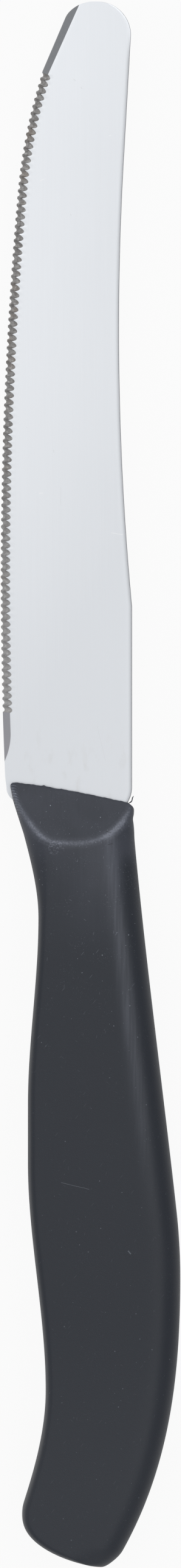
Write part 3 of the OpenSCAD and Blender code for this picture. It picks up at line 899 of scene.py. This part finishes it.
# The U-shaped ridge is lighter from wear and from a painted highlight along it, and its arms get more of
# the painted highlight.
arms = plastic.patch((3.4, -6.2), (2.8, 2.4)) * 0.6 + plastic.patch((-7.2, -6.3), (2.6, 2.4)) * 0.3
off_middle = (plastic.z - handle_t / 2).math("ABSOLUTE").step(1.0, 2.2)
ridge_wear_and_highlight = (ridge_d.step(0.5, 0.0) * 0.85 + ridge_d.step(1.0, 0.2) * 0.3) \
    * (0.45 + fine.step(0.35, 0.65) * 0.6 + coarse.step(0.35, 0.7) * 0.25)
ridge_wear_and_highlight = ridge_wear_and_highlight * plastic.y.step(-11.0, -8.0) * off_middle
# The crest of the back: lighter from wear and from a painted highlight.
crest = plastic.number("crest") * (0.55 + along.step(0.35, 0.65) * 0.45) * plastic.y.step(-62.0, -30.0)
# The crests of the flow ridges are painted lighter: a painted highlight.
combed = plastic.number("comb").step(0.1, 0.8) * (0.1 + fine.step(0.3, 0.7))
scuff = plastic.patch((-4.9, -8.7), (1.6, 1.1)) * (fine * 0.6 + coarse * 0.4).step(0.5, 0.6)
# Wear, a scuff and painted highlights, mixed towards a pale bluish grey.
wear_and_highlights = ridge_wear_and_highlight * (0.55 + arms) + crest * 0.28 + scuff * 0.6 + combed * 0.9
body = plastic.mix(wear_and_highlights.math("MINIMUM", 1.0), body, grey(0.185, 0.20, 0.245))
print("nodes with the wear:", len(plastic.tree.nodes))

# %% Dust and scratches
lint = (plastic.specks(0.5, 0.05) + plastic.specks(0.9, 0.05)) * (0.3 + upper * 0.7)
flecks = (fine * 0.5 + plastic.noise(7.0, 1.0) * 0.5).step(0.585, 0.67)
flecks = flecks * plastic.noise(0.4, 2.0).step(0.42, 0.6)
fibres = plastic.specks(0.22, 0.06, (1, 9, 2), 0.6) + plastic.specks(0.17, 0.07, (1, 12, 2), -0.9) \
    + plastic.specks(0.2, 0.06, (9, 1, 2), 0.2)
pale_lines = plastic.scratches(((-4.0, -54.6), (-0.2, -55.5), 0.04), ((5.2, -64.0), (5.5, -64.3), 0.12))
dark_lines = plastic.scratches(((2.2, -6.5), (2.8, -6.6), 0.07), ((2.4, -8.3), (3.0, -8.2), 0.07))
dust = lint * 0.7 + flecks * (0.04 + upper * 0.13) + fibres * (0.07 + upper * 0.22) + pale_lines * 0.25
body = plastic.mix(dust.math("MINIMUM", 1.0), body, grey(0.36, 0.395, 0.46))
body = plastic.mix(dark_lines * 0.6, body, grey(0.004, 0.005, 0.008))
plastic.done(
    Base_Color=body,
    Roughness=0.42 + (haze - 0.5) * 0.1 + (grain - 0.5) * 0.08 + ridge_wear_and_highlight * 0.1,
    Normal=plastic.bump(grain + coarse * 0.8 + flecks * 0.8, 0.00002, 0.5))
for piece in (handle, thread):
    piece.data.materials.append(plastic.material)
print("plastic nodes:", len(plastic.tree.nodes))

# %% [markdown]
# ## Floor and surroundings
# The knife lies on white. A floor could be lit until it burns out, but the knife would burn out with it.
# So the floor is white to the camera and in part to mirror-like rays, and keeps a share of its own shading,
# in which the knife's shadow stays. The world does the same: white to the camera, a soft grey as a light.

# %% Floor
floor_half = 3
floor_mesh = bpy.data.meshes.new("floor")
corners = [(x * floor_half, y * floor_half, 0) for x, y in ((-1, -1), (1, -1), (1, 1), (-1, 1))]
floor_mesh.from_pydata(corners, [], [(0, 1, 2, 3)])
floor = bpy.data.objects.new("floor", floor_mesh)
bpy.context.scene.collection.objects.link(floor)
white = bpy.data.materials.new("white_floor")
white.use_nodes = True
tree = white.node_tree
tree.nodes.remove(tree.nodes["Principled BSDF"])
path = tree.nodes.new("ShaderNodeLightPath")
kinds = ("Camera", "Glossy", "Transmission")
seen, mirrored, through = (Sock(tree, path.outputs[f"Is {kind} Ray"]) for kind in kinds)
matt = Sock.make(tree, "ShaderNodeBsdfDiffuse", {}, {"Color": grey(0.6)})
glow = Sock.make(tree, "ShaderNodeEmission", {}, {"Color": grey(1.0), "Strength": 1.0})
glow_share = seen * 0.93 + mirrored * 0.25 + through * 0.25
both = Sock.make(tree, "ShaderNodeMixShader", {}, {0: glow_share, 1: matt, 2: glow})
tree.links.new(both.out, tree.nodes["Material Output"].inputs["Surface"])
floor_mesh.materials.append(white)
print("floor, m:", 2 * floor_half)

# %% World
world = bpy.data.worlds.new("studio")
world.use_nodes = True
bpy.context.scene.world = world
tree = world.node_tree
path = tree.nodes.new("ShaderNodeLightPath")
sky = Sock(tree, path.outputs["Is Camera Ray"]) * 0.5 + 0.47
tree.links.new(sky.out, tree.nodes["Background"].inputs["Color"])
print("world nodes:", len(tree.nodes))

# %% [markdown]
# ## Light
# Steel shows its surroundings, so the lamps are large, soft and dim. A lamp's power alone says little about
# how bright it looks in the steel. Here each is given the radiance of its surface, and its power follows.

# %% Lamps


def softbox(name, place, aim, size, radiance):
    """An area lamp that shows as a plain surface of the given radiance: its power is radiance times pi
    times its area."""
    lamp = bpy.data.lights.new(name, "AREA")
    lamp.shape, lamp.size, lamp.size_y = "RECTANGLE", size[0], size[1]
    lamp.energy = radiance * math.pi * size[0] * size[1]
    box = bpy.data.objects.new(name, lamp)
    bpy.context.scene.collection.objects.link(box)
    box.location = place
    box.rotation_euler = (Vector(aim) - Vector(place)).to_track_quat("-Z", "Y").to_euler()
    box.visible_camera = False


softbox("overhead", (0, 0.1, 0.95), (0, 0.1, 0), (1.1, 0.9), 0.45)
softbox("front", (0, 0.9, 0.6), (0, 0, 0), (1.2, 0.5), 0.7)
softbox("tip", (0, 0.42, 0.8), (0, 0, 0), (0.9, 0.2), 0.9)
softbox("side", (0.36, 0, 0.8), (0, 0, 0), (1.2, 0.2), 0.8)
softbox("fill", (-0.9, 0, 0.4), (0, 0, 0), (1.5, 0.8), 0.3)
softbox("butt", (0, -0.9, 0.45), (0, 0, 0), (1.2, 0.6), 0.3)

# %% [markdown]
# ## Camera
# The photo looks straight down on the knife, which fills its height but for a few pixels. A camera far
# above gives the same flat view, and its lens follows from the knife's length at the blade's upper face.

# %% Camera
picture_h, knife_px = 2576, 2572
camera_height, face_height, sensor = 1.2, 0.0055, 36
camera_data = bpy.data.cameras.new("camera")
camera = bpy.data.objects.new("camera", camera_data)
bpy.context.scene.collection.objects.link(camera)
mm_per_px = (cad_box[1][1] - cad_box[0][1]) / MM / knife_px
camera.location = (0, 0, camera_height)
camera_data.sensor_width = sensor
camera_data.lens = sensor * (camera_height - face_height) / (picture_h * mm_per_px * MM)
camera_data.clip_end = 20
bpy.context.scene.camera = camera
bpy.context.scene.view_settings.view_transform = "Standard"
print("lens, mm:", round(camera_data.lens, 1))
